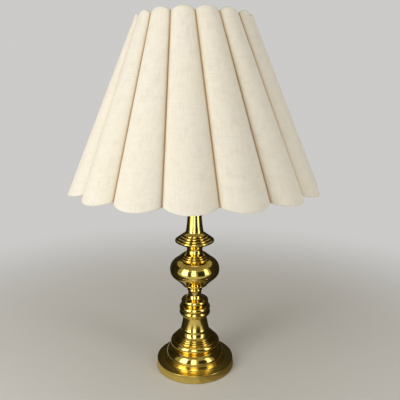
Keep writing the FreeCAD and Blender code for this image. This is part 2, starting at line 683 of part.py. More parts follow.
def socket_cap():
    rim = Z_BELL + SOCKET_BAND_HEIGHT
    inner_r = SOCKET_CAP_R - SOCKET_WALL
    return turned([(SOCKET_THROAT_R, Z_SOCKET), (SOCKET_THROAT_R, Z_SOCKET + SOCKET_THROAT_HEIGHT),
                   (SOCKET_CAP_R, Z_BELL, SOCKET_BELL_BULGE), (SOCKET_CAP_R, rim), (inner_r, rim),
                   (inner_r, Z_BELL), (SOCKET_THROAT_R, Z_CORE_FLOOR, -SOCKET_BELL_BULGE),
                   (ROD_R + THREAD_GAP, Z_CORE_FLOOR), (ROD_R + THREAD_GAP, Z_SOCKET)])


def switch_bore(radius):
    """Level hole for the switch shaft, from inside the core out through the front."""
    return Part.makeCylinder(radius, SHELL_R, vec(0, SWITCH_DEPTH - CORE_R, Z_SWITCH), FRONT)


def socket_shell():
    inner_r = SHELL_R - SOCKET_WALL
    shell = turned([(SHELL_R, Z_SHELL), (SHELL_R, Z_SHELL_TOP - SOCKET_WALL),
                    (SHELL_R - SOCKET_WALL, Z_SHELL_TOP, QUARTER_ROUND * SOCKET_WALL),
                    (SHELL_MOUTH_R, Z_SHELL_TOP), (SHELL_MOUTH_R, Z_SHELL_TOP - SOCKET_WALL),
                    (inner_r, Z_SHELL_TOP - SOCKET_WALL), (inner_r, Z_SHELL)])
    return shell.cut(switch_bore(SWITCH_HOLE_R))


def socket_liner():
    high = Z_SHELL_TOP - SOCKET_WALL - SOCKET_GAP
    return tube(LINER_R, LINER_R - LINER_THICK, Z_SHELL, high).cut(switch_bore(SWITCH_HOLE_R))


def socket_core():
    hub_top = Z_CORE_FLOOR + CORE_HUB_HEIGHT
    core = turned([(CORE_HUB_R, Z_CORE_FLOOR), (CORE_HUB_R, hub_top), (CORE_R, hub_top), (CORE_R, Z_CORE),
                   (0, Z_CORE), (0, hub_top), (STEM_BORE_R, hub_top), (STEM_BORE_R, Z_CORE_FLOOR)])
    core = core.cut(switch_bore(SWITCH_SHAFT_R + STUD_FIT))
    for side in (-1, 1):
        core = core.cut(terminal_shank(side, PLAY))
    return core


def terminal_seat(side):
    return vec(side * (CORE_R + PLAY), 0, Z_CORE - TERMINAL_DROP)


def terminal_shank(side, grow):
    """Level shank from a terminal's seat into the core; grow makes its hole."""
    return Part.makeCylinder(TERMINAL_SHANK_R + grow, TERMINAL_SHANK + grow, terminal_seat(side),
                             vec(-side, 0, 0))


def terminal_screws():
    screws = []
    for side in (-1, 1):
        seat = terminal_seat(side)
        head = Part.makeCylinder(TERMINAL_R, TERMINAL_HEAD, seat, vec(side, 0, 0))
        corner = seat + vec(side * TERMINAL_HEAD - TERMINAL_SLOT, -TERMINAL_R, -TERMINAL_SLOT / 2)
        slot = Part.makeBox(2 * TERMINAL_SLOT, 2 * TERMINAL_R, TERMINAL_SLOT, corner)
        screws.append(head.fuse(terminal_shank(side, 0)).cut(slot))
    return Part.makeCompound(screws)


def screw_shell():
    wall = SCREW_SHELL_WALL
    top = Z_CORE + SCREW_SHELL_HEIGHT
    return turned([(SCREW_SHELL_R + wall, Z_CORE), (SCREW_SHELL_R + wall, top), (SCREW_SHELL_R, top),
                   (SCREW_SHELL_R, Z_CORE + wall), (2 * CONTACT_R, Z_CORE + wall), (2 * CONTACT_R, Z_CORE)])


def centre_contact():
    return turned([(CONTACT_R, Z_CORE), (CONTACT_R, Z_CORE + CONTACT_HEIGHT / 2),
                   (0, Z_CORE + CONTACT_HEIGHT, crown_bulge(CONTACT_R, CONTACT_HEIGHT / 2)), (0, Z_CORE)])


def switch_shaft():
    start = SWITCH_DEPTH - CORE_R - PLAY
    length = start + KNOB_FACE + SWITCH_KNOB_LENGTH / 2
    return Part.makeCylinder(SWITCH_SHAFT_R, length, vec(0, start, Z_SWITCH), FRONT)


def switch_knob():
    """Knob with a neck, grip grooves and a rounded end, drawn upright and then laid to the front."""
    round_r = SWITCH_KNOB_END_R - SWITCH_KNOB_ROUND
    round_low = SWITCH_KNOB_LENGTH - SWITCH_KNOB_ROUND
    knob = turned([(SWITCH_KNOB_NECK_R, 0), (SWITCH_KNOB_NECK_R, SWITCH_KNOB_NECK),
                   (SWITCH_KNOB_R, SWITCH_KNOB_NECK), (SWITCH_KNOB_END_R, round_low),
                   (round_r, SWITCH_KNOB_LENGTH, QUARTER_ROUND * SWITCH_KNOB_ROUND),
                   (0, SWITCH_KNOB_LENGTH), (0, 0)])
    groove_low = SWITCH_KNOB_NECK + SWITCH_GRIP_R
    for index in range(SWITCH_GRIPS):
        foot = at_azimuth(SWITCH_KNOB_R, 360.0 * index / SWITCH_GRIPS, groove_low)
        knob = knob.cut(Part.makeCylinder(SWITCH_GRIP_R, SWITCH_KNOB_LENGTH, foot))
    knob = knob.cut(Part.makeCylinder(SWITCH_SHAFT_R + THREAD_GAP, SWITCH_KNOB_LENGTH / 2 + THREAD_GAP))
    knob.rotate(ORIGIN, vec(1, 0, 0), 90)
    knob.translate(vec(0, -KNOB_FACE, Z_SWITCH))
    return knob


# ---- Bulb ----

def bulb_contact():
    return turned([(BULB_CONTACT_R / 2, Z_BULB), (BULB_CONTACT_R, Z_BULB + BULB_CONTACT_HEIGHT),
                   (0, Z_BULB + BULB_CONTACT_HEIGHT), (0, Z_BULB)])


def bulb_insulator():
    low = Z_BULB + BULB_CONTACT_HEIGHT
    return turned([(BULB_CONTACT_R, low), (BULB_CAP_R - 3 * BULB_CAP_WALL, Z_BULB_CAP - PLAY),
                   (0, Z_BULB_CAP - PLAY), (0, low)])


def bulb_cap():
    """Screw cap: a thin sleeve with a floor, its thread shown as level grooves."""
    top = Z_BULB_CAP + BULB_CAP_HEIGHT
    pitch = BULB_CAP_HEIGHT / (BULB_GROOVES + 1)
    outside = [(BULB_CAP_R - 2 * BULB_CAP_WALL, Z_BULB_CAP), (BULB_CAP_R, Z_BULB_CAP + pitch / 2)]
    for index in range(BULB_GROOVES):
        low = Z_BULB_CAP + pitch * (index + 0.75)
        outside += [(BULB_CAP_R, low), (BULB_CAP_R, low + pitch / 2, -BULB_GROOVE_DEPTH)]
    inner_r = BULB_CAP_R - BULB_GROOVE_DEPTH - BULB_CAP_WALL
    return turned(outside + [(BULB_CAP_R, top), (inner_r, top), (inner_r, Z_BULB_CAP + 2 * BULB_CAP_WALL),
                             (0, Z_BULB_CAP + 2 * BULB_CAP_WALL), (0, Z_BULB_CAP)])


def glass_outline(inset):
    """Half outline of the glass from its neck to its crown, tangent where the arcs meet."""
    centre_z = Z_BULB_TOP - BULB_R
    throat_z = Z_GLASS + BULB_NECK_HEIGHT
    belly_run = math.hypot(BULB_R - BULB_THROAT_R, centre_z - throat_z)
    belly_half = math.atan2(BULB_R - BULB_THROAT_R, centre_z - throat_z)
    belly_bulge = belly_run / 2 * math.tan(belly_half / 2)
    neck_run = math.hypot(BULB_THROAT_R - BULB_NECK_R, BULB_NECK_HEIGHT)
    neck_half = 2 * belly_half - math.atan2(BULB_THROAT_R - BULB_NECK_R, BULB_NECK_HEIGHT)
    neck_bulge = neck_run / 2 * math.tan(neck_half / 2)
    crown_r = BULB_R - inset
    return [(BULB_NECK_R - inset, Z_GLASS), (BULB_THROAT_R - inset, throat_z, -neck_bulge),
            (crown_r, centre_z, belly_bulge), (0, Z_BULB_TOP - inset, crown_bulge(crown_r, crown_r))]


def bulb_envelope():
    outer = turned([*glass_outline(0), (0, Z_GLASS)])
    return outer.cut(turned([*glass_outline(BULB_GLASS), (0, Z_GLASS)]))


def bulb_stem():
    """Post inside the glass: a flange in the neck, a stalk, and two plates that hold the filaments."""
    flange_top = Z_GLASS + BULB_CAP_WALL
    flange_r = BULB_CAP_R - BULB_GROOVE_DEPTH - BULB_CAP_WALL - PLAY
    lower_top = Z_FILAMENT - PLAY
    lower = lower_top - BULB_PLATE_THICK
    upper_top = Z_PLATE + BULB_PLATE_THICK
    return turned([(0, Z_POST), (flange_r, Z_POST), (flange_r, flange_top), (BULB_STEM_R, flange_top),
                   (BULB_STEM_R, lower), (BULB_PLATE_R, lower), (BULB_PLATE_R, lower_top),
                   (BULB_STEM_R, lower_top), (BULB_STEM_R, Z_PLATE), (BULB_PLATE_R, Z_PLATE),
                   (BULB_PLATE_R, upper_top), (0, upper_top)])


def bulb_filaments():
    rods = []
    for index in range(FILAMENT_COUNT):
        foot = at_azimuth(FILAMENT_CIRCLE_R, 360.0 * index / FILAMENT_COUNT, Z_FILAMENT)
        rods.append(Part.makeCylinder(FILAMENT_R, FILAMENT_LENGTH, foot))
    return Part.makeCompound(rods)


# ---- Shade ----

class FluteEdge:
    """Scalloped edge of the shade at its bottom or top: alternating valleys and peaks on two circles."""

    def __init__(self, valley_r, peak_r, valley_z, peak_z, azimuth):
        self.valley_r = valley_r
        self.peak_r = peak_r
        self.valley_z = valley_z
        self.peak_z = peak_z
        self.azimuth = azimuth
        half = math.radians(FLUTE_ANGLE / 2)
        depth = peak_r - valley_r * math.cos(half)
        self.side_slope = 2 * math.atan2(depth, valley_r * math.sin(half)) - half

    def radial(self, distance):
        """Radial run at a valley of a distance that is square to the flute's side."""
        return distance / math.cos(self.side_slope)

    def valley(self, index, inset, back_off=0.0):
        """Valley before flute index, moved in square to the flute's side, and aside by back_off."""
        radius = self.valley_r - self.radial(inset)
        azimuth = self.azimuth + FLUTE_ANGLE * (index - 0.5) + math.degrees(back_off / self.valley_r)
        return at_azimuth(radius, azimuth, self.valley_z)

    def arc(self, index, inset, seam=0.0):
        """Arc of one flute, valley to valley over its peak."""
        peak = at_azimuth(self.peak_r - inset, self.azimuth + FLUTE_ANGLE * index, self.peak_z)
        return Part.Arc(self.valley(index, inset, seam), peak, self.valley(index + 1, inset, -seam))


BOTTOM_EDGE = FluteEdge(SHADE_BOTTOM_VALLEY_R, SHADE_BOTTOM_PEAK_R, Z_SHADE_BOTTOM,
                        Z_SHADE_BOTTOM - SHADE_SCALLOP_DROP, SHADE_BOTTOM_AZIMUTH)
TOP_EDGE = FluteEdge(SHADE_TOP_VALLEY_R, SHADE_TOP_PEAK_R, Z_SHADE_TOP,
                     Z_SHADE_TOP + SHADE_SCALLOP_RISE, SHADE_BOTTOM_AZIMUTH + SHADE_TWIST)
WIRE_INSET = PANEL_THICK + FRAME_GAP + FRAME_WIRE_R


def shade_panel(index):
    """One flute of the shade: straight rulings between the arcs of its two edges."""
    arcs = [[edge.arc(index, inset, SEAM_GAP / 2).toShape() for inset in (0, PANEL_THICK)]
            for edge in (BOTTOM_EDGE, TOP_EDGE)]
    (low_out, low_in), (high_out, high_in) = arcs
    faces = [Part.makeRuledSurface(low_out, high_out), Part.makeRuledSurface(low_in, high_in),
             Part.makeRuledSurface(low_out, low_in), Part.makeRuledSurface(high_out, high_in)]
    for end in (0, 1):
        corners = [arc.Vertexes[end].Point for arc in (low_out, high_out, high_in, low_in)]
        sides = [Part.LineSegment(corners[1], corners[0]).toShape(),
                 Part.LineSegment(corners[2], corners[3]).toShape()]
        faces.append(Part.makeRuledSurface(*sides))
    shell = Part.makeShell(faces)
    shell.sewShape()
    return Part.makeSolid(shell)


def shade_panels():
    return Part.makeCompound([shade_panel(index) for index in range(FLUTES)])


def flute_sector(edge, index):
    """Wedge of space between the two valleys of a flute."""
    reach = 2 * SHADE_BOTTOM_PEAK_R
    wedge = Part.makeCylinder(reach, 2 * reach, vec(0, 0, edge.valley_z - reach), UP, FLUTE_ANGLE)
    wedge.rotate(ORIGIN, UP, edge.azimuth + FLUTE_ANGLE * (index - 0.5) - 90)
    return wedge


def wire_bow(edge, index):
    """Frame wire of one flute: a circle turned about the arc's own axis, mitred at both valleys."""
    line = edge.arc(index, WIRE_INSET).toShape()
    first, last = line.ParameterRange
    centre, axis = line.Curve.Center, line.Curve.Axis
    section = Part.Circle(line.valueAt(first), line.tangentAt(first), FRAME_WIRE_R).toShape()
    face = Part.Face(Part.Wire(section))
    face.rotate(centre, axis, -MITRE_ANGLE)
    bow = face.revolve(centre, axis, math.degrees(last - first) + 2 * MITRE_ANGLE)
    return bow.common(flute_sector(edge, index))


def shade_wire(edge):
    """Closed frame wire that follows the flutes inside an edge."""
    bows = [wire_bow(edge, index) for index in range(FLUTES)]
    return bows[0].multiFuse(bows[1:])


def shade_ribs():
    ribs = []
    for index in range(FLUTES):
        low = BOTTOM_EDGE.valley(index, WIRE_INSET)
        high = TOP_EDGE.valley(index, WIRE_INSET)
        along = (high - low).normalize()
        low += along * (BOTTOM_EDGE.radial(FRAME_WIRE_R) + WIRE_END_GAP)
        high -= along * (TOP_EDGE.radial(FRAME_WIRE_R) + WIRE_END_GAP)
        ribs.append(rod_between(low, high, FRAME_WIRE_R))
    return Part.makeCompound(ribs)


def shade_spider():
    """Hub washer with arms that run up to valleys of the upper frame wire, as evenly as they allow."""
    spider = tube(SPIDER_HUB_R, SPIDER_HOLE_R, Z_HUB, Z_HUB + SPIDER_HUB_THICK)
    for arm in range(SPIDER_ARMS):
        end = TOP_EDGE.valley(round(arm * FLUTES / SPIDER_ARMS), WIRE_INSET)
        level = Z_HUB + SPIDER_HUB_THICK / 2
        start = vec(end.x, end.y, 0).normalize() * (SPIDER_HUB_R - SPIDER_ARM_R) + vec(0, 0, level)
        trim = (end - start).normalize() * (TOP_EDGE.radial(FRAME_WIRE_R) + WIRE_END_GAP)
        spider = spider.fuse(rod_between(start, end - trim, SPIDER_ARM_R))
    return spider


# ---- Finial ----

def finial_insert():
    return tube(INSERT_R, STUD_R + STUD_FIT, Z_FINIAL, Z_FINIAL + INSERT_LENGTH)


def finial_knob():
    foot_top = Z_FINIAL + FINIAL_FOOT_HEIGHT
    neck_top = foot_top + FINIAL_NECK_HEIGHT
    ball_top = neck_top + FINIAL_BALL_HEIGHT
    tip_rise = FINIAL_TIP_HEIGHT / 2
    ball_bulge = FINIAL_BALL_R - (FINIAL_NECK_R + FINIAL_TIP_R) / 2
    bore_r = INSERT_R + STUD_FIT
    bore_top = max(Z_FINIAL + INSERT_LENGTH, Z_REST + STUD_LENGTH) + PLAY
    return turned([(FINIAL_FOOT_R, Z_FINIAL), (FINIAL_FOOT_R, foot_top, FINIAL_FOOT_HEIGHT / 4),
                   (FINIAL_NECK_R, neck_top, -FINIAL_NECK_COVE), (FINIAL_TIP_R, ball_top, ball_bulge),
                   (FINIAL_TIP_R, ball_top + tip_rise),
                   (0, ball_top + 2 * tip_rise, crown_bulge(FINIAL_TIP_R, tip_rise)),
                   (0, bore_top), (bore_r, bore_top), (bore_r, Z_FINIAL)])


NODES = {
    "felt_pad": felt_pad,
    "weight_disc": weight_disc,
    "foot_shell": foot_shell,
    "foot_dome": foot_dome,
    "base_torus": base_torus,
    "stepped_ring": stepped_ring,
    "lower_column": lower_column,
    "double_ring": double_ring,
    "seat_ring": seat_ring,
    "lower_neck": lower_neck,
    "ball_collar": ball_collar,
    "ball_lower_shell": ball_lower_shell,
    "ball_upper_shell": ball_upper_shell,
    "shoulder_collar": shoulder_collar,
    "upper_neck": upper_neck,
    "drip_pan": drip_pan,
    "upper_column": upper_column,
    "column_cap": column_cap,
    "threaded_rod": threaded_rod,
    "base_nut": base_nut,
    "base_washer": base_washer,
    "cord_bush": cord_bush,
    "harp_saddle": harp_saddle,
    "saddle_nut": saddle_nut,
    "socket_cap": socket_cap,
    "socket_shell": socket_shell,
    "socket_liner": socket_liner,
    "socket_core": socket_core,
    "screw_shell": screw_shell,
    "centre_contact": centre_contact,
    "terminal_screws": terminal_screws,
    "switch_shaft": switch_shaft,
    "switch_knob": switch_knob,
    "harp_loop": harp_loop,
    "harp_sleeve_left": lambda: harp_sleeve(-1),
    "harp_sleeve_right": lambda: harp_sleeve(1),
    "harp_stud": harp_stud,
    "shade_spider": shade_spider,
    "shade_top_wire": lambda: shade_wire(TOP_EDGE),
    "shade_bottom_wire": lambda: shade_wire(BOTTOM_EDGE),
    "shade_ribs": shade_ribs,
    "shade_panels": shade_panels,
    "finial_insert": finial_insert,
    "finial_knob": finial_knob,
    "bulb_contact": bulb_contact,
    "bulb_insulator": bulb_insulator,
    "bulb_cap": bulb_cap,
    "bulb_envelope": bulb_envelope,
    "bulb_stem": bulb_stem,
    "bulb_filaments": bulb_filaments,
}

os.makedirs("parts", exist_ok=True)
for node, build in NODES.items():
    shape = build()
    shape.exportStep("parts/" + node + ".step")
    print(f"{node:20s} solids {len(shape.Solids):3d}  valid {shape.isValid()}  volume {shape.Volume:12.1f}")
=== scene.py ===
"""Looks of the candlestick table lamp: turned brass, a fluted linen shade, and the parts inside it."""

import json
import math

import bmesh
import bpy
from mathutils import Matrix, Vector


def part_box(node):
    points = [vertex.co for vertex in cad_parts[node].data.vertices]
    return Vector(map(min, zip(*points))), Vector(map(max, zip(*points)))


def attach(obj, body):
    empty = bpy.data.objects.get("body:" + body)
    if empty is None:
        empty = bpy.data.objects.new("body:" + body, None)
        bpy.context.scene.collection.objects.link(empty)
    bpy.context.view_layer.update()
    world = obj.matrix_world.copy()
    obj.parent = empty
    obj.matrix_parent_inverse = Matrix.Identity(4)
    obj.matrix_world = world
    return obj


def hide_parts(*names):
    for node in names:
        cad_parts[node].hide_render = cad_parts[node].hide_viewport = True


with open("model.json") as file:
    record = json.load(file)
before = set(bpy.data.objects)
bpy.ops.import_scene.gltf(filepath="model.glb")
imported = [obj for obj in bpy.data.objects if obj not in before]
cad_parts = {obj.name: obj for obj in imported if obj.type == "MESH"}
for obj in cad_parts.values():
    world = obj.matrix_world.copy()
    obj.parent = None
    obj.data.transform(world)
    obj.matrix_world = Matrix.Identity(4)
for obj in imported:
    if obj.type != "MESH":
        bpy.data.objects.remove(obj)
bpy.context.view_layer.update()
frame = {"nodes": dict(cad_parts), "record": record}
nodes = frame["nodes"]
slot_of = {part["node"]: part["material_slot"] for part in frame["record"]["subparts"]}
body_of = {node: body for body, members in frame["record"]["behaviour"]["bodies"].items() for node in members}

MM = 0.001

# ---- Camera and studio ----
CAMERA_PLACE = (0.00907, -0.74405, 0.4604)
CAMERA_TILT = 12.27              # degrees below the horizon
CAMERA_LENS = 41.05              # mm
SENSOR_WIDTH = 36.0              # mm
WORLD_LEVEL = 0.35               # what everything but the camera sees of the world
WORLD_TONE = (1.0, 0.93, 0.80)
BACKDROP_LEVEL = 0.60            # what the camera alone sees of the world
BACKDROP_TONE = (1.0, 0.99, 0.97)
FLOOR_COLOUR = (0.74, 0.73, 0.71)
FLOOR_HALF = 6.0
FLOOR_Z = -0.0002
FLOOR_FADE = (0.25, 1.0)         # distances over which the floor blends into the backdrop
CARD_COLOUR = (0.022, 0.017, 0.010)
LIGHT_TONE = (1.0, 0.995, 0.975)

# name: azimuth from the front towards +X, distance, width, bottom, top, radiance
SOFTBOXES = {
    "key": (-45, 1.05, 0.46, 0.02, 1.30, 4.2),
    "front": (-4, 1.00, 0.30, 0.02, 1.30, 3.0),
    "right": (56, 1.05, 0.26, 0.02, 1.10, 2.9),
}
ONLY_SHINE = ("front",)          # softboxes that light nothing matt
TOP_BOX = (1.9, 1.1, 0.8)        # height, side, radiance

# dark cards that only reflections see: azimuth, width in degrees, bottom, top
CARDS = (
    (-23, 14, 0.0, 0.52),
    (29, 32, 0.0, 0.52),
    (-105, 52, 0.0, 0.9),
    (104, 56, 0.0, 0.9),
    (-152, 42, 0.0, 0.8),
    (154, 44, 0.0, 0.8),
)
CARD_DISTANCE = 0.62
# cards that lie on the floor, for reflections alone too: x0, x1, y0, y1, colour
FLOOR_CARDS = (
    (-1.2, -0.11, -0.25, 0.11, CARD_COLOUR),
    (0.11, 1.2, -0.25, 0.11, CARD_COLOUR),
    (-1.2, 1.2, 0.11, 1.3, CARD_COLOUR),
    (0.012, 0.034, -0.25, 0.11, (0.50, 0.48, 0.42)),
    (0.034, 0.058, -0.25, 0.11, (0.34, 0.31, 0.24)),
    (0.058, 0.11, -0.25, 0.11, (0.20, 0.17, 0.11)),
)
FLOOR_CARD_Z = -0.0001

# ---- Shade ----
FLUTES = 16
SHADE_BOTTOM_VALLEY_R = 0.1863
SHADE_BOTTOM_PEAK_R = 0.2031
SHADE_TOP_VALLEY_R = 0.0874
SHADE_TOP_PEAK_R = 0.0900
SHADE_BOTTOM_VALLEY_Z = 0.3295
SHADE_SCALLOP_DROP = 0.0065
SHADE_HEIGHT = 0.2506
SHADE_SCALLOP_RISE = 0.0062
SHADE_BOTTOM_AZIMUTH = -0.7      # degrees
SHADE_TWIST = -8.8
FLUTE_ANGLE = 360.0 / FLUTES
PANEL_THICK = 0.0012
LINEN_THICK = 0.00045
BACKING_GAP = 0.00008            # backing to the linen on either side of it
HEM_RETURN = 0.010               # linen folded over the backing inside the edges
HEM_STEPS = 3
TUCK_R = 0.0006                  # radius at which the linen turns into a seam
TUCK_INSET = 1.15                # middle of that turn beside the seam, in radii
TUCK_STEPS = 4
FLUTE_STEPS = 30                 # facets across a flute
RISE_STEPS = 56                  # facets along a flute
ROUND_STEPS = 4                  # facets round a folded edge
SEAM_SHADE_WIDTH = 0.0017              # width of the painted shade strip beside a seam
SHADE_SHARP = math.radians(60)   # edges that turn more than this stay sharp

# ---- Turned pieces ----
TURN_STEPS = 160                 # facets round a turned piece
ON_PLANE = 2e-6                  # how near a vertex is to the cutting plane to count as on it
ON_AXIS = 1e-7                   # radius under which a point is on the axis
CORNER_TURN = math.radians(24)   # an outline that turns more than this has a corner
EDGE_ROUND = 0.00028             # how far a corner is softened
EDGE_SHARE = 0.3                 # and at most this share of the sides beside it
ARC_STEP = 0.0007                # spacing of points on a smooth outline
CREVICE_REACH = 0.0016           # how far the darkening reaches from a hollow corner
TURNED_SHARP = math.radians(50)
INLET_R = 0.0047                 # hole for the cord's bush
INLET_DEPTH = 0.030

TURNED = ("foot_dome", "base_torus", "stepped_ring", "lower_column", "double_ring", "seat_ring",
          "lower_neck", "ball_collar", "ball_lower_shell", "ball_upper_shell", "shoulder_collar",
          "upper_neck", "drip_pan", "upper_column", "column_cap", "foot_shell", "socket_cap",
          "finial_knob", "bulb_envelope", "bulb_cap", "harp_stud", "screw_shell", "centre_contact")


# ---- Materials ----

class Shader:
    """One node-based material, with short ways to add and join its nodes."""

    def __init__(self, name):
        self.material = bpy.data.materials.new(name)
        self.material.use_nodes = True
        self.tree = self.material.node_tree
        self.surface = self.tree.nodes["Principled BSDF"]

    def node(self, kind, **settings):
        made = self.tree.nodes.new(kind)
        for key, value in settings.items():
            if key in made.inputs:
                made.inputs[key].default_value = value
            else:
                setattr(made, key, value)
        return made

    def join(self, source, target):
        self.tree.links.new(source, target)

    def set(self, **values):
        for key, value in values.items():
            self.surface.inputs[key.replace("_", " ")].default_value = value

    def place(self, scale=(1, 1, 1), uv=None):
        """Coordinates in metres times scale: in the object's own space, or along a UV map."""
        if uv:
            source = self.node("ShaderNodeUVMap", uv_map=uv).outputs["UV"]
        else:
            source = self.node("ShaderNodeTexCoord").outputs["Object"]
        mapping = self.node("ShaderNodeMapping", Scale=scale)
        self.join(source, mapping.inputs["Vector"])
        return mapping.outputs["Vector"]

    def noise(self, scale, detail=3.0, rough=0.55, uv=None):
        made = self.node("ShaderNodeTexNoise", Scale=1.0, Detail=detail, Roughness=rough)
        self.join(self.place(scale, uv), made.inputs["Vector"])
        return made.outputs["Fac"]

    def ramp(self, source, *stops):
        made = self.node("ShaderNodeValToRGB")
        cursor = made.color_ramp
        while len(cursor.elements) < len(stops):
            cursor.elements.new(0.5)
        for element, (position, colour) in zip(cursor.elements, stops):
            element.position = position
            element.color = (*colour, 1.0) if isinstance(colour, tuple) else (colour, colour, colour, 1.0)
        self.join(source, made.inputs["Fac"])
        return made.outputs["Color"]

    def mix(self, amount, first, second):
        made = self.node("ShaderNodeMix", data_type="RGBA")
        for value, socket in ((amount, made.inputs[0]), (first, made.inputs[6]), (second, made.inputs[7])):
            if isinstance(value, bpy.types.NodeSocket):
                self.join(value, socket)
            elif isinstance(value, tuple):
                socket.default_value = (*value, 1.0)
            else:
                socket.default_value = value
        return made.outputs[2]

    def maths(self, operation, first, second):
        made = self.node("ShaderNodeMath", operation=operation)
        for value, socket in zip((first, second), made.inputs):
            if isinstance(value, bpy.types.NodeSocket):
                self.join(value, socket)
            else:
                socket.default_value = value
        return made.outputs[0]

    def attribute(self, name):
        return self.node("ShaderNodeAttribute", attribute_name=name).outputs["Fac"]

    def colour(self, source):
        self.join(source, self.surface.inputs["Base Color"])

    def roughness(self, source, low, high):
        made = self.node("ShaderNodeMapRange")
        made.inputs["To Min"].default_value = low
        made.inputs["To Max"].default_value = high
        self.join(source, made.inputs["Value"])
        self.join(made.outputs["Result"], self.surface.inputs["Roughness"])

    def bump(self, height, depth, strength=1.0):
        made = self.node("ShaderNodeBump", Strength=strength, Distance=depth)
        self.join(height, made.inputs["Height"])
        self.join(made.outputs["Normal"], self.surface.inputs["Normal"])


def brass(name, tone, deep, low, high, ring_depth=0.000004, crevice=0.75):
    """Polished or satin brass: soft patches of tone, darker near hollow corners, rings from the lathe."""
    shader = Shader(name)
    shader.set(Metallic=1.0)
    patches = shader.noise((55, 55, 80), 4)
    ground = shader.mix(shader.ramp(patches, (0.35, 0.0), (0.75, 1.0)), tone, tuple(0.9 * c for c in tone))
    # darker towards DEEP within CREVICE_REACH of the outline's hollow corners
    crevice_dark = shader.maths("MULTIPLY", shader.attribute("crevice"), crevice)
    shader.colour(shader.mix(crevice_dark, ground, deep))
    shader.roughness(shader.noise((30, 30, 45), 5), low, high)
    shader.bump(shader.noise((40, 40, 5200), 2), ring_depth)
    return shader.material


def linen(name):
    """Cream slub linen: uneven threads both ways, soft mottling, and a warm painted shade strip at the seams.
    """
    shader = Shader(name)
    warp = shader.noise((1150, 34, 1), 4, 0.6, uv="weave")
    weft = shader.noise((30, 1250, 1), 4, 0.6, uv="weave")
    mottle = shader.noise((85, 85, 85), 5, 0.65)
    broad = shader.noise((14, 14, 9), 3)
    cream, tan, grey = (0.895, 0.845, 0.735), (0.690, 0.605, 0.450), (0.740, 0.700, 0.605)
    cloth = shader.mix(shader.ramp(warp, (0.54, 0.0), (0.74, 0.75)), cream, tan)
    cloth = shader.mix(shader.ramp(weft, (0.56, 0.0), (0.76, 0.70)), cloth, tan)
    cloth = shader.mix(shader.ramp(mottle, (0.48, 0.0), (0.72, 0.45)), cloth, grey)
    cloth = shader.mix(shader.ramp(broad, (0.40, 0.0), (0.70, 0.30)), cloth, (0.900, 0.830, 0.650))
    # painted shade: a warm brown mixed into the cloth at each seam, fading across the strip beside it
    seam_shade = shader.maths("MULTIPLY", shader.attribute("seam_shade"), 0.86)
    shader.colour(shader.mix(seam_shade, cloth, (0.520, 0.310, 0.085)))
    shader.set(Roughness=0.88, Sheen_Weight=0.18, Sheen_Roughness=0.5, Specular_IOR_Level=0.25)
    over, under = (shader.node("ShaderNodeTexWave", Scale=330.0, Distortion=0.6, wave_type="BANDS",
                               bands_direction=way) for way in "XY")
    for wave in (over, under):
        shader.join(shader.place(uv="weave"), wave.inputs["Vector"])
    threads = shader.maths("ADD", over.outputs["Fac"], under.outputs["Fac"])
    slubs = shader.maths("MULTIPLY", shader.maths("ADD", warp, weft), 2.4)
    shader.bump(shader.maths("ADD", threads, slubs), 0.00012, 0.7)
    return shader.material


def plain(name, colour, rough, grain=900, depth=0.00002, vary=0.85, **settings):
    """Plastic, enamel, board or cast metal with a fine grain and slightly uneven tone."""
    shader = Shader(name)
    tone = shader.ramp(shader.noise((45, 45, 45), 4), (0.3, 0.0), (0.8, 1.0))
    shader.colour(shader.mix(tone, colour, tuple(vary * c for c in colour)))
    fine = shader.noise((grain, grain, grain), 3)
    shader.roughness(fine, rough * 0.9, min(1.0, rough * 1.12))
    shader.bump(fine, depth)
    shader.set(**settings)
    return shader.material


def felt(name):
    """Green felt: matted fibres that lie every way."""
    shader = Shader(name)
    fibres = shader.noise((900, 2600, 900), 6, 0.75)
    across = shader.noise((2600, 900, 900), 6, 0.75)
    tone = shader.maths("MULTIPLY", shader.maths("ADD", fibres, across), 0.5)
    shader.colour(shader.ramp(tone, (0.36, (0.016, 0.045, 0.026)), (0.62, (0.060, 0.135, 0.080))))
    shader.set(Roughness=0.97, Sheen_Weight=0.5, Sheen_Roughness=0.6)
    shader.bump(tone, 0.0006)
    return shader.material


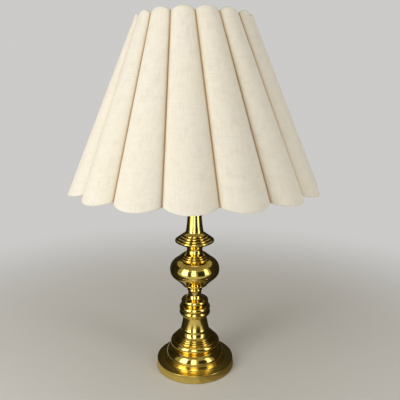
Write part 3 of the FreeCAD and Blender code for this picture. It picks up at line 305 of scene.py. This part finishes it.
DEEP = (0.105, 0.062, 0.010)
MATERIALS = {
    "polished_brass": brass("polished_brass", (0.850, 0.640, 0.160), DEEP, 0.080, 0.18),
    "foot_brass": brass("foot_brass", (0.820, 0.615, 0.160), DEEP, 0.16, 0.28, 0.000010),
    "harp_brass": brass("harp_brass", (0.700, 0.520, 0.215), DEEP, 0.28, 0.42),
    "socket_brass": brass("socket_brass", (0.790, 0.560, 0.190), DEEP, 0.16, 0.30),
    "zinc_steel": plain("zinc_steel", (0.60, 0.60, 0.58), 0.36, Metallic=1.0),
    "frame_wire": plain("frame_wire", (0.80, 0.775, 0.70), 0.42),
    "cast_iron": plain("cast_iron", (0.10, 0.10, 0.105), 0.72, 420, 0.00012, 0.7, Metallic=0.6),
    "felt": felt("felt"),
    "linen": linen("linen"),
    "backing": plain("backing", (0.86, 0.835, 0.755), 0.52, 600, 0.00001, 0.96),
    "bush_plastic": plain("bush_plastic", (0.030, 0.026, 0.022), 0.5),
    "liner_board": plain("liner_board", (0.30, 0.22, 0.14), 0.85, 700, 0.00005),
    "core_phenolic": plain("core_phenolic", (0.055, 0.036, 0.026), 0.34),
    "knob_plastic": plain("knob_plastic", (0.022, 0.018, 0.015), 0.28),
    "bulb_insulator": plain("bulb_insulator", (0.012, 0.012, 0.016), 0.14),
    "bulb_cap_metal": plain("bulb_cap_metal", (0.74, 0.74, 0.725), 0.26, Metallic=1.0),
    "bulb_glass": plain("bulb_glass", (0.93, 0.925, 0.895), 0.24, 400, 0.000004, 0.98,
                        Transmission_Weight=0.45, IOR=1.47),
    "bulb_stem_glass": plain("bulb_stem_glass", (0.90, 0.91, 0.90), 0.12, 400, 0.000004, 0.97,
                             Transmission_Weight=0.8, IOR=1.5),
    "filament": plain("filament", (0.86, 0.62, 0.16), 0.4),
}


# ---- Mesh helpers ----

def object_of(name, mesh, material):
    made = bpy.data.objects.new(name, mesh)
    bpy.context.scene.collection.objects.link(made)
    mesh.materials.append(material)
    mesh.shade_smooth()
    return made


def object_from(grid, name, material, sharp=None):
    """Turns a bmesh into an object, smooth but for edges that turn more than sharp."""
    mesh = bpy.data.meshes.new(name)
    grid.to_mesh(mesh)
    grid.free()
    made = object_of(name, mesh, material)
    if sharp is not None:
        mesh.set_sharp_from_angle(angle=sharp)
    return made


def settle(made):
    """Turns an object's modifiers into its mesh."""
    shown = made.evaluated_get(bpy.context.evaluated_depsgraph_get())
    mesh = bpy.data.meshes.new_from_object(shown)
    made.modifiers.clear()
    made.data = mesh


def stand_for(made, node):
    """The piece rides where its CAD node rides, and hides it."""
    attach(made, body_of[node])
    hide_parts(node)
    return made


# ---- Turned pieces, redrawn finely from the outline of their CAD node ----

def node_outline(node):
    """Half outline of a turned node, read where its mesh crosses the XZ plane, as (radius, height)."""
    mesh = nodes[node].data
    flat = {v.index: (round(max(v.co.x, 0.0), 6), round(v.co.z, 6)) for v in mesh.vertices
            if abs(v.co.y) < ON_PLANE and v.co.x > -ON_PLANE}
    links = {}
    for edge in mesh.edges:
        first, second = (flat.get(index) for index in edge.vertices)
        if first and second and first != second and not (first[0] == 0.0 and second[0] == 0.0):
            links.setdefault(first, set()).add(second)
            links.setdefault(second, set()).add(first)
    start = min(links, key=lambda p: (len(links[p]), p[1], -p[0]))
    walk, seen = [start], {start}
    while True:
        ahead = sorted(p for p in links[walk[-1]] if p not in seen)
        if not ahead:
            break
        walk.append(max(ahead, key=lambda p: (p[0], -p[1])) if len(walk) == 1 else ahead[0])
        seen.add(walk[-1])
    return walk, walk[0][0] > 0.0 or walk[-1][0] > 0.0


def turn_at(before, here, after):
    """Signed turn of the outline at a corner, in radians; positive turns left."""
    way_in = Vector(here) - Vector(before)
    way_out = Vector(after) - Vector(here)
    return math.atan2(way_in.x * way_out.y - way_in.y * way_out.x, way_in.dot(way_out))


def curve_between(points, index, closed):
    """Points of a smooth curve from outline point index to the next, by its neighbours."""
    count = len(points)
    pick = (lambda i: points[i % count]) if closed else (lambda i: points[min(max(i, 0), count - 1)])
    before, start, end, after = (Vector(pick(index + step)) for step in (-1, 0, 1, 2))
    span = (end - start).length
    sharp_start = abs(turn_at(before, start, end)) > CORNER_TURN or before == start
    sharp_end = abs(turn_at(start, end, after)) > CORNER_TURN or after == end
    if sharp_start and sharp_end or span < ARC_STEP:
        return [start]
    chord = (end - start).normalized()
    tangent_in = chord if sharp_start else ((start - before).normalized() + chord).normalized()
    tangent_out = chord if sharp_end else ((after - end).normalized() + chord).normalized()
    if sharp_start:
        tangent_in = (2 * chord.dot(tangent_out) * chord - tangent_out).normalized()
    if sharp_end:
        tangent_out = (2 * chord.dot(tangent_in) * chord - tangent_in).normalized()
    steps = max(1, round(span / ARC_STEP))
    made = []
    for step in range(steps):
        t = step / steps
        made.append((2 * t ** 3 - 3 * t ** 2 + 1) * start + (t ** 3 - 2 * t ** 2 + t) * span * tangent_in
                    + (3 * t ** 2 - 2 * t ** 3) * end + (t ** 3 - t ** 2) * span * tangent_out)
    return made


def fine_outline(node):
    """Outline with smooth arcs and softened outer corners, and how deep each point lies in a crevice."""
    points, closed = node_outline(node)
    area = sum(a[0] * b[1] - b[0] * a[1] for a, b in zip(points, points[1:] + points[:1]))
    if area < 0:
        points.reverse()
    fine = []
    for index in range(len(points) if closed else len(points) - 1):
        fine += curve_between(points, index, closed)
    if not closed:
        fine.append(Vector(points[-1]))
    soft, hollows = [], []
    count = len(fine)
    for index, here in enumerate(fine):
        if not closed and index in (0, count - 1):
            soft.append(here)
            continue
        before, after = fine[index - 1], fine[(index + 1) % count]
        turn = turn_at(before, here, after)
        if abs(turn) > CORNER_TURN:
            near = min(EDGE_ROUND, EDGE_SHARE * (here - before).length, EDGE_SHARE * (after - here).length)
            start = here + (before - here).normalized() * near
            end = here + (after - here).normalized() * near
            soft += [start, (start + end + 2 * here) / 4 * 0.5 + (start + end) / 4, end]
            if turn < 0:
                hollows.append(here)
        else:
            soft.append(here)
    depth = []
    for point in soft:
        gap = min(((point - hollow).length for hollow in hollows), default=1.0)
        depth.append(math.exp(-gap / CREVICE_REACH))
    return soft, depth, closed


def join_rings(grid, rings, closed=False):
    """Skins rings of vertices, each to the next; a ring of one vertex is a point on the axis."""
    for low, high in zip(rings, rings[1:] + rings[:1] if closed else rings[1:]):
        for step in range(TURN_STEPS):
            following = (step + 1) % TURN_STEPS
            corners = list(dict.fromkeys((low[step % len(low)], low[following % len(low)],
                                          high[following % len(high)], high[step % len(high)])))
            if len(corners) > 2:
                grid.faces.new(corners)
    bmesh.ops.recalc_face_normals(grid, faces=grid.faces)


def turned_piece(node, name):
    """The node's fine outline, turned about the Z axis."""
    points, depth, closed = fine_outline(node)
    grid = bmesh.new()
    rings = []
    layer = grid.verts.layers.float.new("crevice")
    for point, deep in zip(points, depth):
        ring = []
        for step in range(1 if point.x < ON_AXIS else TURN_STEPS):
            angle = 2 * math.pi * step / TURN_STEPS
            vert = grid.verts.new((point.x * math.cos(angle), point.x * math.sin(angle), point.y))
            vert[layer] = deep
            ring.append(vert)
        rings.append(ring)
    join_rings(grid, rings, closed)
    return object_from(grid, name, MATERIALS[slot_of[node]], TURNED_SHARP)


def cut_inlet(made):
    """Cuts the cord's hole through the back of the foot, as wide as the bush's body."""
    low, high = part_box("cord_bush")
    middle = (low.z + high.z) / 2
    bpy.ops.mesh.primitive_cylinder_add(vertices=48, radius=INLET_R, depth=INLET_DEPTH,
                                        location=(0, high.y - INLET_DEPTH / 2, middle),
                                        rotation=(math.pi / 2, 0, 0))
    cutter = bpy.context.object
    made.modifiers.new("inlet", "BOOLEAN").object = cutter
    settle(made)
    bpy.data.objects.remove(cutter)


for node in TURNED:
    piece = turned_piece(node, node + "_turned")
    if node == "foot_shell":
        cut_inlet(piece)
    stand_for(piece, node)


# ---- Shade ----

def at_azimuth(radius, azimuth, z):
    angle = math.radians(azimuth)
    return Vector((radius * math.sin(angle), -radius * math.cos(angle), z))


def arc_points(start, peak, end, steps):
    """Points along the circle through three points."""
    a, b = start - peak, end - peak
    cross = a.cross(b)
    offset = a.length_squared * b.cross(cross) + b.length_squared * cross.cross(a)
    centre = peak + offset / (2 * cross.length_squared)
    first, last = start - centre, end - centre
    side = cross.cross(first).normalized() * first.length
    sweep = math.atan2(last.dot(side), last.dot(first)) % (2 * math.pi)
    middle = math.atan2((peak - centre).dot(side), (peak - centre).dot(first)) % (2 * math.pi)
    if middle > sweep:
        side, sweep = -side, 2 * math.pi - sweep
    return [centre + first * math.cos(sweep * i / steps) + side * math.sin(sweep * i / steps)
            for i in range(steps + 1)]


class FluteEdge:
    """Scalloped edge of the shade: valleys and peaks on two circles."""

    def __init__(self, valley_r, peak_r, valley_z, peak_z, azimuth):
        self.valley_r, self.peak_r, self.valley_z, self.peak_z = valley_r, peak_r, valley_z, peak_z
        self.azimuth = azimuth

    def arc(self, index):
        ends = [at_azimuth(self.valley_r, self.azimuth + FLUTE_ANGLE * (index + side), self.valley_z)
                for side in (-0.5, 0.5)]
        peak = at_azimuth(self.peak_r, self.azimuth + FLUTE_ANGLE * index, self.peak_z)
        return arc_points(ends[0], peak, ends[1], FLUTE_STEPS)


BOTTOM_EDGE = FluteEdge(SHADE_BOTTOM_VALLEY_R, SHADE_BOTTOM_PEAK_R, SHADE_BOTTOM_VALLEY_Z,
                        SHADE_BOTTOM_VALLEY_Z - SHADE_SCALLOP_DROP, SHADE_BOTTOM_AZIMUTH)
TOP_EDGE = FluteEdge(SHADE_TOP_VALLEY_R, SHADE_TOP_PEAK_R, SHADE_BOTTOM_VALLEY_Z + SHADE_HEIGHT,
                     SHADE_BOTTOM_VALLEY_Z + SHADE_HEIGHT + SHADE_SCALLOP_RISE,
                     SHADE_BOTTOM_AZIMUTH + SHADE_TWIST)


def flute_skin(index):
    """Outer skin of a flute: columns of (point, outward normal), from its left seam to its right one."""
    low, high = BOTTOM_EDGE.arc(index), TOP_EDGE.arc(index)
    rows = []
    for step in range(RISE_STEPS + 1):
        share = step / RISE_STEPS
        rows.append([a.lerp(b, share) for a, b in zip(low, high)])
    skin = []
    for step, row in enumerate(rows):
        along_from, along_to = rows[max(step - 1, 0)], rows[min(step + 1, RISE_STEPS)]
        line = []
        for column, point in enumerate(row):
            across = row[min(column + 1, FLUTE_STEPS)] - row[max(column - 1, 0)]
            along = along_to[column] - along_from[column]
            line.append((point, across.cross(along).normalized()))
        skin.append(line)
    return skin


def linen_columns(skin):
    """Each row of the skin with its two sides tucked in: (point, normal, distance across, painted seam
    shade).
    """
    rows = []
    for line in skin:
        points = [point for point, normal in line]
        lengths = [0.0]
        for a, b in zip(points, points[1:]):
            lengths.append(lengths[-1] + (b - a).length)
        row = []
        for side in (0, 1):
            edge, normal = line[-1 if side else 0]
            inner = points[-2 if side else 1]
            inward = (inner - edge).normalized()
            tuck = []
            for step in range(TUCK_STEPS):
                angle = math.pi / 2 * (1 - step / TUCK_STEPS)
                centre = edge + inward * TUCK_R * TUCK_INSET - normal * TUCK_R
                out = normal * math.cos(angle) - inward * math.sin(angle)
                run = TUCK_R * angle
                tuck.append((centre + out * TUCK_R, out, (lengths[-1] + run) if side else -run, 1.0))
            if side:
                body = []
                for (point, out), length in zip(line[1:-1], lengths[1:-1]):
                    gap = min(length, lengths[-1] - length)
                    # painted shade weight: 1 in the tuck at the seam, fading over SEAM_SHADE_WIDTH across the
                    # flute
                    body.append((point, out, length, math.exp(-max(gap - TUCK_R, 0.0) / SEAM_SHADE_WIDTH)))
                row = row + body + tuck[::-1]
            else:
                row = tuck
        rows.append(row)
    return rows


def linen_panel(index):
    """Linen of one flute, folded over the backing at both ends, as a closed thin sheet."""
    rows = linen_columns(flute_skin(index))
    half = PANEL_THICK / 2
    height = 0.0

    def folded(row, tangents, sign):
        """Rows from inside the edge round to the outside; sign is -1 at the bottom and 1 at the top."""
        made = []
        for step in range(HEM_STEPS, -1, -1):
            share = HEM_RETURN * step / HEM_STEPS
            made.append([(p - n * (PANEL_THICK + LINEN_THICK) - t * sign * share, -n, u, s, share)
                         for (p, n, u, s), t in zip(row, tangents)])
        for step in range(1, ROUND_STEPS):
            angle = math.pi * step / ROUND_STEPS
            line = []
            for (p, n, u, s), t in zip(row, tangents):
                inside = n * (half + LINEN_THICK / 2) * (1 + math.cos(angle))
                out = (-n * math.cos(angle) + t * sign * math.sin(angle)).normalized()
                line.append((p - inside + t * sign * half * math.sin(angle), out, u, s, -half * angle))
            made.append(line)
        return made

    def along(low, high):
        return [(b[0] - a[0]).normalized() for a, b in zip(low, high)]

    strips = folded(rows[0], along(rows[0], rows[1]), -1)
    top = folded(rows[-1], along(rows[-2], rows[-1]), 1)
    for step, row in enumerate(rows):
        if step:
            height += (row[len(row) // 2][0] - rows[step - 1][len(row) // 2][0]).length
        strips.append([(p, n, u, s, height) for p, n, u, s in row])
    for strip in reversed(top):
        strips.append([(p, n, u, s, height - v) for p, n, u, s, v in strip])

    grid = bmesh.new()
    seam_shade_layer = grid.verts.layers.float.new("seam_shade")
    weave = grid.loops.layers.uv.new("weave")
    place = {}
    sheets = []
    for depth in (0.0, LINEN_THICK):
        sheet = []
        for strip in strips:
            line = []
            for p, n, u, s, v in strip:
                vert = grid.verts.new(p - n * depth)
                vert[seam_shade_layer] = s
                place[vert] = (u + index * 0.37, v + index * 0.61)
                line.append(vert)
            sheet.append(line)
        sheets.append(sheet)
    outer, inner = sheets
    last_row, last_column = len(strips) - 1, len(strips[0]) - 1
    for r in range(last_row):
        for c in range(last_column):
            grid.faces.new((outer[r][c], outer[r][c + 1], outer[r + 1][c + 1], outer[r + 1][c]))
            grid.faces.new((inner[r][c], inner[r + 1][c], inner[r + 1][c + 1], inner[r][c + 1]))
    for r in range(last_row):
        for c, flip in ((0, False), (last_column, True)):
            corners = (outer[r][c], outer[r + 1][c], inner[r + 1][c], inner[r][c])
            grid.faces.new(corners[::-1] if flip else corners)
    for c in range(last_column):
        for r, flip in ((0, True), (last_row, False)):
            corners = (outer[r][c], outer[r][c + 1], inner[r][c + 1], inner[r][c])
            grid.faces.new(corners if flip else corners[::-1])
    bmesh.ops.recalc_face_normals(grid, faces=grid.faces)
    for face in grid.faces:
        for loop in face.loops:
            loop[weave].uv = place[loop.vert]
    return object_from(grid, f"shade_linen_{index + 1:02d}", MATERIALS["linen"], SHADE_SHARP)


def flute_width(edge):
    arc = edge.arc(0)
    return sum((b - a).length for a, b in zip(arc, arc[1:]))


def backing_shell():
    """Stiff pale backing behind the linen, one curved plate for each flute."""
    grid = bmesh.new()
    for index in range(FLUTES):
        skin = flute_skin(index)
        sheets = []
        for depth in (LINEN_THICK + BACKING_GAP, PANEL_THICK - BACKING_GAP):
            sheets.append([[grid.verts.new(p - n * depth) for p, n in line[1:-1]] for line in skin])
        outer, inner = sheets
        rows, columns = len(outer) - 1, len(outer[0]) - 1
        for r in range(rows):
            for c in range(columns):
                grid.faces.new((outer[r][c], outer[r][c + 1], outer[r + 1][c + 1], outer[r + 1][c]))
                grid.faces.new((inner[r][c], inner[r + 1][c], inner[r + 1][c + 1], inner[r][c + 1]))
            for c in (0, columns):
                grid.faces.new((outer[r][c], outer[r + 1][c], inner[r + 1][c], inner[r][c]))
        for c in range(columns):
            for r in (0, rows):
                grid.faces.new((outer[r][c], outer[r][c + 1], inner[r][c + 1], inner[r][c]))
    bmesh.ops.recalc_face_normals(grid, faces=grid.faces)
    return object_from(grid, "shade_backing", MATERIALS["backing"], SHADE_SHARP)


LOW_PEAK, HIGH_PEAK = (edge.arc(0)[FLUTE_STEPS // 2] for edge in (BOTTOM_EDGE, TOP_EDGE))
PANEL_WIDTH = flute_width(BOTTOM_EDGE)
PANEL_LENGTH = (LOW_PEAK - HIGH_PEAK).length + 2 * HEM_RETURN
PANEL_AREA = PANEL_LENGTH * (PANEL_WIDTH + flute_width(TOP_EDGE)) / 2
for index in range(FLUTES):
    panel = stand_for(linen_panel(index), "shade_panels")
stand_for(backing_shell(), "shade_panels")


# ---- Felt ----

def felt_disc():
    """Felt pad with softly rounded, slightly uneven edges."""
    low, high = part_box("felt_pad")
    radius, thick = high.x, high.z - low.z
    outline = [(0.0, low.z), (radius - 0.8 * MM, low.z), (radius - 0.2 * MM, low.z + 0.25 * thick),
               (radius, low.z + 0.6 * thick), (radius - 0.3 * MM, high.z), (0.0, high.z)]
    grid = bmesh.new()
    rings = []
    for r, z in outline:
        ring = []
        for step in range(1 if r == 0.0 else TURN_STEPS):
            angle = 2 * math.pi * step / TURN_STEPS
            waver = 0.15 * MM * (math.sin(11 * angle) + math.sin(29 * angle + 1)) - 0.3 * MM if r else 0.0
            ring.append(grid.verts.new(((r + waver) * math.cos(angle), (r + waver) * math.sin(angle), z)))
        rings.append(ring)
    join_rings(grid, rings)
    made = stand_for(object_from(grid, "felt_disc", MATERIALS["felt"]), "felt_pad")


felt_disc()

# ---- The other CAD nodes keep their shape and get their finish ----
for node, piece in nodes.items():
    if piece.hide_render:
        continue
    piece.data.materials.clear()
    piece.data.materials.append(MATERIALS[slot_of[node]])


# ---- Studio ----

def facing(place, target):
    return (Vector(target) - Vector(place)).to_track_quat("-Z", "Y")


def softbox(name, place, target, width, height, radiance):
    lamp = bpy.data.lights.new(name, "AREA")
    lamp.shape = "RECTANGLE"
    lamp.size, lamp.size_y = width, height
    lamp.energy = radiance * math.pi * width * height
    lamp.color = LIGHT_TONE
    made = bpy.data.objects.new(name, lamp)
    bpy.context.scene.collection.objects.link(made)
    made.location = place
    made.rotation_mode = "QUATERNION"
    made.rotation_quaternion = facing(place, target)
    made.visible_camera = False
    made.visible_diffuse = name not in ONLY_SHINE


def plate(name, width, height, material):
    mesh = bpy.data.meshes.new(name)
    x, z = width / 2, height / 2
    mesh.from_pydata([(-x, 0, -z), (x, 0, -z), (x, 0, z), (-x, 0, z)], [], [(0, 1, 2, 3)])
    made = bpy.data.objects.new(name, mesh)
    bpy.context.scene.collection.objects.link(made)
    mesh.materials.append(material)
    return made


def floor_finish():
    """Pale floor that blends into the backdrop with the distance from its middle."""
    shader = Shader("floor")
    shader.set(Base_Color=(*FLOOR_COLOUR, 1.0), Roughness=0.85)
    distance = shader.node("ShaderNodeVectorMath", operation="LENGTH")
    shader.join(shader.place(), distance.inputs[0])
    fade = shader.node("ShaderNodeMapRange", interpolation_type="SMOOTHSTEP")
    fade.inputs["From Min"].default_value, fade.inputs["From Max"].default_value = FLOOR_FADE
    shader.join(distance.outputs["Value"], fade.inputs["Value"])
    glow = shader.node("ShaderNodeEmission", Color=(*BACKDROP_TONE, 1.0), Strength=BACKDROP_LEVEL)
    blend = shader.node("ShaderNodeMixShader")
    shader.join(fade.outputs["Result"], blend.inputs[0])
    shader.join(shader.surface.outputs[0], blend.inputs[1])
    shader.join(glow.outputs[0], blend.inputs[2])
    shader.join(blend.outputs[0], shader.tree.nodes["Material Output"].inputs["Surface"])
    return shader.material


def only_in_reflections(card):
    card.visible_camera = card.visible_diffuse = card.visible_shadow = card.visible_transmission = False


def studio():
    floor = plate("floor", 2 * FLOOR_HALF, 2 * FLOOR_HALF, floor_finish())
    floor.rotation_euler = (math.radians(-90), 0, 0)
    floor.location = (0, 0, FLOOR_Z)
    for name, (azimuth, distance, width, bottom, top, radiance) in SOFTBOXES.items():
        middle = (bottom + top) / 2
        place = at_azimuth(distance, azimuth, middle)
        softbox(name, place, (0, 0, middle), width, top - bottom, radiance)
    height, side, radiance = TOP_BOX
    softbox("top", (0, -0.3, height), (0, 0, 0.3), side, side, radiance)
    dark = plain("card", CARD_COLOUR, 0.9, 60, 0.0, 0.95)
    for number, (azimuth, spread, bottom, top) in enumerate(CARDS):
        width = 2 * CARD_DISTANCE * math.tan(math.radians(spread / 2))
        card = plate(f"card_{number}", width, top - bottom, dark)
        card.location = at_azimuth(CARD_DISTANCE, azimuth, (bottom + top) / 2)
        card.rotation_euler = (0, 0, math.radians(azimuth))
        only_in_reflections(card)
    for number, (x0, x1, y0, y1, colour) in enumerate(FLOOR_CARDS):
        finish = plain(f"floor_card_{number}", colour, 0.9, 60, 0.0, 0.95)
        card = plate(f"floor_card_{number}", x1 - x0, y1 - y0, finish)
        card.rotation_euler = (math.radians(-90), 0, 0)
        card.location = ((x0 + x1) / 2, (y0 + y1) / 2, FLOOR_CARD_Z)
        only_in_reflections(card)


def world_light():
    """The camera alone sees the pale backdrop; reflections and light come from a warmer, darker ground."""
    world = bpy.data.worlds.new("studio")
    world.use_nodes = True
    tree = world.node_tree
    ground = tree.nodes["Background"]
    ground.inputs["Color"].default_value = (*WORLD_TONE, 1.0)
    ground.inputs["Strength"].default_value = WORLD_LEVEL
    seen = tree.nodes.new("ShaderNodeBackground")
    seen.inputs["Color"].default_value = (*BACKDROP_TONE, 1.0)
    seen.inputs["Strength"].default_value = BACKDROP_LEVEL
    blend = tree.nodes.new("ShaderNodeMixShader")
    tree.links.new(tree.nodes.new("ShaderNodeLightPath").outputs["Is Camera Ray"], blend.inputs[0])
    tree.links.new(ground.outputs[0], blend.inputs[1])
    tree.links.new(seen.outputs[0], blend.inputs[2])
    tree.links.new(blend.outputs[0], tree.nodes["World Output"].inputs["Surface"])
    bpy.context.scene.world = world


def camera():
    lens = bpy.data.cameras.new("camera")
    lens.lens, lens.sensor_width = CAMERA_LENS, SENSOR_WIDTH
    made = bpy.data.objects.new("camera", lens)
    bpy.context.scene.collection.objects.link(made)
    made.location = CAMERA_PLACE
    made.rotation_euler = (math.radians(90 - CAMERA_TILT), 0, 0)
    bpy.context.scene.camera = made


studio()
world_light()
camera()
bpy.context.scene.view_settings.view_transform = "Standard"
